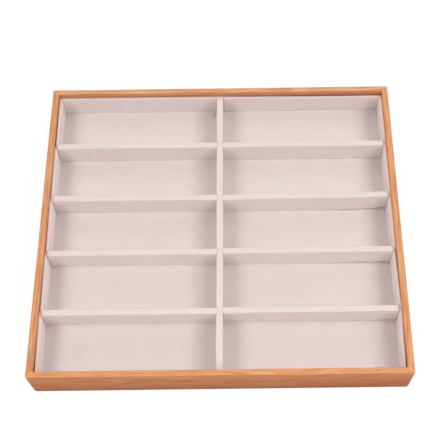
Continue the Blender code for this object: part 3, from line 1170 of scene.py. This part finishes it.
def floor_grid():
    """Give the sheet's upper side: it settles to its full swell as 1 - exp(-distance / settle)."""
    half = DIVIDER_THICKNESS / 2
    edges_x = [-LINING_FACE.x, -half, half, LINING_FACE.x, *CREASED_X]
    rows = [*ROWS["left"], *ROWS["right"]]
    edges_y = [place + sign * half for place in rows for sign in (-1, 1)]
    edges_y += [-LINING_FACE.y, LINING_FACE.y, *CREASED_Y]
    stations_x = closer_near(edges_x, FLOOR_LOW.x, FLOOR_HIGH.x, *FLOOR_STEPS)
    stations_y = closer_near(edges_y, FLOOR_LOW.y, FLOOR_HIGH.y, *FLOOR_STEPS)
    x, y = np.meshgrid(stations_x, stations_y)
    swell = 1.0 - np.exp(-distance_to_walls(x, y) / FLOOR_SETTLE)
    z = FLOOR_HIGH.z + swell * (FLOOR_SWELL + floor_waves(x, y) + crease_height(x, y))
    return np.stack([x, y, z], axis=-1)


floor_sheet = new_piece("floor_plush", floor_grid(), greige_plush, closed=False)
floor_wall = floor_sheet.modifiers.new("thickness of the plush", "SOLIDIFY")
floor_wall.thickness = FABRIC_THICKNESS
floor_wall.offset = -1.0
mark_painted_fill(floor_sheet, close_to_a_wall)
finish_piece(floor_sheet, "floor_fabric")

# %% [markdown]
# ## A fabric folded over a board
#
# Linings and dividers are made alike: a strip of plush is glued to a board's face and folded
# over its top edge. Its section is a hook. It starts inside, under the top, runs down the
# inside of the face, turns round the cut bottom edge, and comes up outside and over the
# fold. Each point of the section also keeps its place in the fabric's thickness, 0 inside
# and 1 outside, so that pressing the plush moves only its outside.

# %% Draw the folded section
FOLD_RADIUS = 1.02 * MM
CROWN_POINTS = 5
FOLD_POINTS = 8
FACE_POINTS = 9
HEM_POINTS = 7
HEM_SQUARENESS = 0.45


def folded_section(depth, bottom, top):
    """Give depth, height and skin along the fold, from the inside of the top to its outside.

    The fold is a quarter circle whose outside radius is FOLD_RADIUS, and its inside runs one
    fabric thickness within it. The hem is a half circle across the thickness, squared off by
    a power of its sine and cosine, so that it stands close on the floor.
    """
    thickness, fold = FABRIC_THICKNESS, FOLD_RADIUS
    crown = np.linspace(1.0, 0.0, CROWN_POINTS, endpoint=False)
    quarter = np.linspace(0.0, math.pi / 2, FOLD_POINTS)
    face = np.linspace(0.0, 1.0, FACE_POINTS + 2)[1:-1]
    half_turn = np.linspace(0.0, math.pi, HEM_POINTS)
    across = np.sign(np.cos(half_turn)) * np.abs(np.cos(half_turn)) ** HEM_SQUARENESS
    down = np.sin(half_turn) ** HEM_SQUARENESS
    inner_fold = fold - thickness
    hem_top, face_top = bottom + thickness / 2, top - fold
    stretches = [
        (fold + (depth - fold) * crown, np.full(CROWN_POINTS, top - thickness), 0.0),
        (fold - inner_fold * np.sin(quarter), face_top + inner_fold * np.cos(quarter), 0.0),
        (np.full(FACE_POINTS, thickness), face_top + (hem_top - face_top) * face, 0.0),
        (thickness / 2 * (1.0 + across), hem_top - thickness / 2 * down, (1.0 - across) / 2),
        (np.zeros(FACE_POINTS), hem_top + (face_top - hem_top) * face, 1.0),
        (fold * (1.0 - np.cos(quarter)), face_top + fold * np.sin(quarter), 1.0),
        (fold + (depth - fold) * crown[::-1], np.full(CROWN_POINTS, top), 1.0),
    ]
    columns = [np.broadcast_arrays(*stretch) for stretch in stretches]
    return tuple(np.concatenate(part) for part in zip(*columns))


FOOT_CLEARANCE = 0.05 * MM
WALL_FOOT = FLOOR_HIGH.z + FOOT_CLEARANCE
print("the plush of the walls starts", round(WALL_FOOT / MM, 2), "mm up")

# %% [markdown]
# ## The linings
#
# A lining strip stands along each rail. The front and back ones run from side to side, and
# the side ones stand between them. Where a divider's end pushes into a strip, its plush is
# pressed in. The side strips don't lie quite flat against the wood: between two dividers
# they stand off a little at one end, and a dark gap shows there between the wood and the
# plush. That is what makes the tray look built by hand, so each compartment has its own two
# gaps. The back strip leans off the wood at its top, over its right half.

# %% Let the strips stand off the wood
SIDE_GAPS = {
    # for each compartment, back to front: the strip's distance off the wood at its two ends,
    # in millimetres
    "left": [(0.5, 0.9), (0.0, 0.7), (0.0, 0.7), (0.0, 0.8), (0.0, 0.9)],
    "right": [(0.1, 0.0), (0.1, 0.0), (0.1, 0.0), (0.8, 0.0), (0.0, 0.8)],
}
KINK_LENGTH = 1.2 * MM
BACK_GAPS = [
    # place along the back rail, and the strip's distance off the wood there, in millimetres
    (-20.0, 0.0),
    (35.0, 0.5),
    (100.0, 1.05),
]
BACK_PLACES, BACK_DISTANCES = MM * np.array(BACK_GAPS).T


def stand_off(side, place):
    """Give a strip's distance off the wood at each place along it, by straight lines.

    A side strip keeps the gaps of its compartments. At each divider the line runs in
    KINK_LENGTH from the gap behind it to the one before it.
    """
    if side == "back":
        return np.interp(place, BACK_PLACES, BACK_DISTANCES)
    kinks = [row + sign * KINK_LENGTH / 2 for row in WALL_ROWS[side] for sign in (1, -1)]
    ends = np.array([LINING_FACE.y, *kinks, -LINING_FACE.y])
    gaps = MM * np.array(SIDE_GAPS[side]).reshape(-1)
    return np.interp(-np.asarray(place), -ends, gaps)


def moved_off(side, grid):
    """Move a strip's or a card's points off the wood, towards the middle of the tray.

    The back strip leans: only its top stands off so far, and its foot stays where it is.
    """
    grid = grid.copy()
    if side == "back":
        upwards = (grid[..., 2] - WALL_FOOT) / (LINING_TOP - WALL_FOOT)
        grid[..., 1] -= upwards * stand_off(side, grid[..., 0])
    elif side != "front":
        towards_middle = 1.0 if side == "left" else -1.0
        grid[..., 0] += towards_middle * stand_off(side, grid[..., 1])
    return grid


for side, gaps in SIDE_GAPS.items():
    print(side, "strip stands off the wood by up to", max(max(pair) for pair in gaps), "mm")

# %% Stand the linings along the rails
# The step between stations, the close step, and how far the close ones reach from a divider.
LINING_STEPS = (3.0 * MM, 0.3 * MM, 5.1 * MM)
LINING_END_GAP = 0.05 * MM
LINING_WANDER = 0.10 * MM
LINING_WAVELENGTH = 0.09
LINING_SHARP_ANGLE = 60.0
PRESS_DEPTH = 0.62 * MM
PRESS_SLOPE = 0.7 * MM
SNUG = 0.2 * MM


def strip_ends(side):
    """Give the ends of a strip along its rail. A side strip makes room for the back one's lean."""
    if side in LONG_SIDES:
        return -BACK_LINING_HIGH.x, BACK_LINING_HIGH.x
    half_length = LINING_FACE.y - LINING_END_GAP
    if side == "left":
        return -half_length + stand_off("back", -LINING_FACE.x), half_length
    return -half_length, half_length - stand_off("back", LINING_FACE.x)


def lining_grid(side):
    """Carry the folded section along one rail, press it at the dividers, and stand it off.

    Only the outside of the face and fold is pressed, and only its upper half wanders.
    """
    if side in LONG_SIDES:
        face, pressed_at = LINING_FACE.y, [0.0]
    else:
        mirror = -1.0 if side == "left" else 1.0
        face, pressed_at = LINING_FACE.x, [mirror * place for place in WALL_ROWS[side]]
    along = closer_near(pressed_at, *strip_ends(side), *LINING_STEPS)[:, None]
    depth, height, skin = folded_section(LINING_DEPTH + SNUG, WALL_FOOT, LINING_TOP)
    half_press = DIVIDER_THICKNESS / 2
    press = sum(plateau(along - place, half_press, PRESS_SLOPE) for place in pressed_at)
    on_face = depth < FOLD_RADIUS
    upper_half = height > LINING_TOP / 2
    depth = depth + PRESS_DEPTH * press * skin * on_face
    wave = wander(along, QUARTER_TURNS[side], LINING_WAVELENGTH)
    height = height + LINING_WANDER * wave * skin * upper_half
    grid = np.stack(np.broadcast_arrays(along, -(face + depth), height), axis=-1)
    return moved_off(side, turned_to(side, grid))


for side in QUARTER_TURNS:
    nap = greige_plush if side in LONG_SIDES else side_plush_painted_light
    grid = lining_grid(side)
    lining = new_piece(f"{side}_lining_plush", grid, nap, capped=True, sharp=LINING_SHARP_ANGLE)
    if nap is greige_plush:
        mark_painted_fill(lining, low_on_a_wall)
    finish_piece(lining, f"{side}_lining_fabric")

# %% [markdown]
# The card behind a strip that stands off follows it, or it would show in the gap. It is one
# long board whose stations are moved by the same rule.

# %% Bend the cards with their linings
# The step between stations, the close step, and how far the close ones reach from a bend.
CARD_STEPS = (6.0 * MM, 0.6 * MM, 3.0 * MM)
CARD_EDGE = 0.1 * MM

for side in ("left", "right", "back"):
    card_low, card_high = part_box(f"{side}_lining_board")
    if side == "right":
        card_high.y -= stand_off("back", LINING_FACE.x)
    bends = BACK_PLACES if side == "back" else WALL_ROWS[side]
    half_length = max(card_high - card_low) / 2
    stations = closer_near(bends, -half_length, half_length, *CARD_STEPS) / half_length
    card_grid = moved_off(side, board_grid(card_low, card_high, CARD_EDGE, CARD_EDGE, stations))
    finish_board(f"{side}_lining_card", card_grid, "grey_card", f"{side}_lining_board")

# %% [markdown]
# ## The dividers
#
# A divider is a hardboard strip in a glove of plush: over its top, down both faces and round
# both ends. The folded section is stacked as loops, so the ends and corners come out round
# by themselves. Straight loops would look machined. So a wrap bows along its length, its top
# dips, its faces swell, and it gets a little thinner toward its foot.

# %% Wrap a divider
DIVIDER_CORNER = 1.0 * MM
# The step between stations, the close step, and how far the close ones reach from a crossing.
DIVIDER_STEPS = (2.5 * MM, 0.3 * MM, 5.1 * MM)
DIVIDER_BOW = 0.15 * MM
BOW_WAVELENGTH = 0.21
DIVIDER_DIP = 0.12 * MM
DIP_WAVELENGTH = 0.13
DIP_SEED_STEP = 50
FACE_BULGE = 0.12 * MM
FOOT_TAPER = 0.3 * MM


def share_up(z):
    """Give 0 at the foot of a divider and 1 at its top."""
    return np.clip((z - WALL_FOOT) / (DIVIDER_TOP - WALL_FOOT), 0.0, 1.0)


def wrapped_divider(half_length, half, seed, close_to=()):
    """Stack the loops of one wrap, along X about the origin, and let it bow, dip and swell.

    At the share u of its height a face swells by FACE_BULGE sin(pi u) and is drawn in by
    FOOT_TAPER (1 - u). The swelling leaves the middle of the top alone.
    """
    inset, height, skin = folded_section(half, WALL_FOOT, DIVIDER_TOP)
    low, high = -np.max(half_length), np.max(half_length)
    stations = closer_near(close_to, low, high, *DIVIDER_STEPS) / high
    grid = stacked_loops(half_length, half, DIVIDER_CORNER, inset, height, stations)
    x, y, z = np.moveaxis(grid, -1, 0)
    up = share_up(z)
    off_middle = np.abs(y) > half / 2
    y += np.sign(y) * FACE_BULGE * np.sin(math.pi * up) * off_middle
    y *= 1.0 - FOOT_TAPER / half * (1.0 - up)
    y += DIVIDER_BOW * wander(x, seed, BOW_WAVELENGTH)
    z += DIVIDER_DIP * wander(x, seed + DIP_SEED_STEP, DIP_WAVELENGTH) * up
    return grid, skin


print("a wrap is", in_mm([DIVIDER_TOP - WALL_FOOT, DIVIDER_THICKNESS]), "mm high and thick")

# %% [markdown]
# Nobody glues eight dividers dead upright. Most of them stand with their feet a little behind
# their tops, and some feet don't reach the floor at the right end, where a dark line shows
# under the plush. The centre divider stands left of the middle. The board inside a wrap has
# the same faults, so the rules for them take any grid of points.

# %% Set the dividers askew
FOOT_FAULTS = {
    # for each cross divider, back to front: how far its foot stands behind its top, and how far
    # the foot is lifted off the floor at its right end, in millimetres
    "left": [(0.3, 0.0), (0.6, 0.0), (0.9, 0.0), (0.9, 0.2)],
    "right": [(0.0, 0.5), (0.0, 2.1), (0.2, 2.0), (0.9, 0.9)],
}
BEND_LENGTH = 40.0 * MM
CENTRE_SHIFTS = (-0.85 * MM, -0.45 * MM)


def set_askew(grid, hand, number):
    """Lean a divider's foot back, lift the foot towards the right end, and bend both ends back.

    An end bends over BEND_LENGTH, as 3 t t - 2 t t t. The grid is made about the origin.
    """
    lean, lift = [MM * fault for fault in FOOT_FAULTS[hand][number - 1]]
    left_bend, right_bend = [MM * bend for bend in END_BENDS[hand][number - 1]]
    half_length = size_of(f"{hand}_divider_fabric_{number}").x / 2
    x, y, z = np.moveaxis(grid, -1, 0)
    down = 1.0 - share_up(z)
    y += lean * down
    z += lift * down * np.clip(x / half_length, 0.0, 1.0)
    y += left_bend * plateau(x + half_length, 0.0, BEND_LENGTH)
    y += right_bend * plateau(x - half_length, 0.0, BEND_LENGTH)


def centre_shift(y):
    """Give how far right of its even place the centre divider stands at a place along it."""
    return np.interp(y, [-HALF_DEPTH, HALF_DEPTH], CENTRE_SHIFTS)


print("centre divider shifted by", CENTRE_SHIFTS, "m at its front and its back")

# %% [markdown]
# The cross dividers stand with their ends pressed into the linings and into the centre
# divider.

# %% Wrap the cross dividers
END_SLACK = 0.08 * MM
HAND_SEEDS = {"left": 0, "right": 10}

for hand, first_seed in HAND_SEEDS.items():
    for number in ROW_NUMBERS:
        low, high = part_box(f"{hand}_divider_fabric_{number}")
        inner_end = high if hand == "left" else low
        inner_end.x += centre_shift(CENTRE_ROWS[hand][number - 1])
        half_length = (high.x - low.x) / 2 + END_SLACK
        wrap_grid, _ = wrapped_divider(half_length, DIVIDER_THICKNESS / 2, first_seed + number)
        set_askew(wrap_grid, hand, number)
        wrap_grid += np.array([(low.x + high.x) / 2, ROWS[hand][number - 1], 0.0])
        wrap = new_piece(f"{hand}_divider_plush_{number}", wrap_grid, greige_plush)
        mark_painted_fill(wrap, low_on_a_wall)
        finish_piece(wrap, f"{hand}_divider_fabric_{number}")

# %% [markdown]
# The centre divider runs from the front to the back, and is a little thicker. The cross
# dividers push into its faces, so its plush is pinched there, and its top narrows at every
# crossing. Its own ends stand a little higher than the linings, and lap over them up to the
# wood.

# %% Wrap the centre divider
CENTRE_THICKNESS = DIVIDER_THICKNESS + 0.45 * MM
CENTRE_SEED = 31
PINCH_DEPTH = 0.85 * MM
PINCH_SLOPE = 2.2 * MM
PINCH_LEVEL = 0.6
LAP_START = LINING_TOP + 0.05 * MM
LAP_FULL = LINING_TOP + 0.25 * MM
LAP_CLEARANCE = 0.15 * MM


def centre_divider_grid():
    """Wrap the long divider, lap its top over the linings, and pinch it at the crossings.

    A pinch is level over PINCH_LEVEL of the half thickness on each side of its crossing, and
    then slopes out to PINCH_SLOPE beyond the half thickness.
    """
    half = CENTRE_THICKNESS / 2
    _, height, skin = folded_section(half, WALL_FOOT, DIVIDER_TOP)
    wood = HALF_DEPTH - RAIL_THICKNESS - LAP_CLEARANCE
    lapped = np.clip((height - LAP_START) / (LAP_FULL - LAP_START), 0.0, 1.0) * skin
    half_length = CENTRE_HIGH.y + lapped * (wood - CENTRE_HIGH.y)
    crossings = CENTRE_ROWS["left"] + CENTRE_ROWS["right"]
    grid, skin = wrapped_divider(half_length, half, CENTRE_SEED, crossings)
    x, y, _ = np.moveaxis(grid, -1, 0)
    rows = np.where(y[..., None] > 0.0, CENTRE_ROWS["left"], CENTRE_ROWS["right"])
    level = PINCH_LEVEL * half
    pinch = plateau(x[..., None] - rows, level, PINCH_SLOPE + half - level).sum(axis=-1)
    y *= 1.0 - skin[:, None] * pinch * PINCH_DEPTH / half
    y -= centre_shift(x)
    return grid @ QUARTER_TURN.T


centre_wrap = new_piece("centre_divider_plush", centre_divider_grid(), centre_plush)
mark_painted_fill(centre_wrap, low_on_a_wall)
finish_piece(centre_wrap, "centre_divider_fabric")

# %% [markdown]
# The boards inside were glued to their plush, so each one stands askew with its wrap. If it
# stayed straight, its corner could come through the plush where a divider bends most.

# %% Set the hardboards askew with their wraps
BOARD_EASE = 0.1 * MM
BOARD_STATIONS = np.linspace(-1.0, 1.0, 29)


def inner_board(node):
    """Work out a divider's board about the origin, and give its middle in the plan."""
    low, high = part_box(node)
    middle = Vector(((low.x + high.x) / 2, (low.y + high.y) / 2, 0.0))
    grid = board_grid(low - middle, high - middle, BOARD_EASE, BOARD_EASE, BOARD_STATIONS)
    return grid, middle


for hand in HAND_SEEDS:
    for number in ROW_NUMBERS:
        node = f"{hand}_divider_board_{number}"
        core_grid, middle = inner_board(node)
        set_askew(core_grid, hand, number)
        core_grid += np.array([middle.x, ROWS[hand][number - 1], 0.0])
        finish_board(f"{hand}_divider_core_{number}", core_grid, "divider_hardboard", node)
core_grid, middle = inner_board("centre_divider_board")
core_grid += np.array(middle)
core_grid[..., 0] += centre_shift(core_grid[..., 1])
finish_board("centre_divider_core", core_grid, "divider_hardboard", "centre_divider_board")

# %% [markdown]
# ## What is left to do
#
# The solids that no new piece stands for ride with the tray by themselves. The last cell
# lists them. A finish may hardly change an object's size.

# %% List the solids that show themselves
shown = [node.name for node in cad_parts.values() if not node.hide_render]
print("solids that show themselves:", ", ".join(shown))
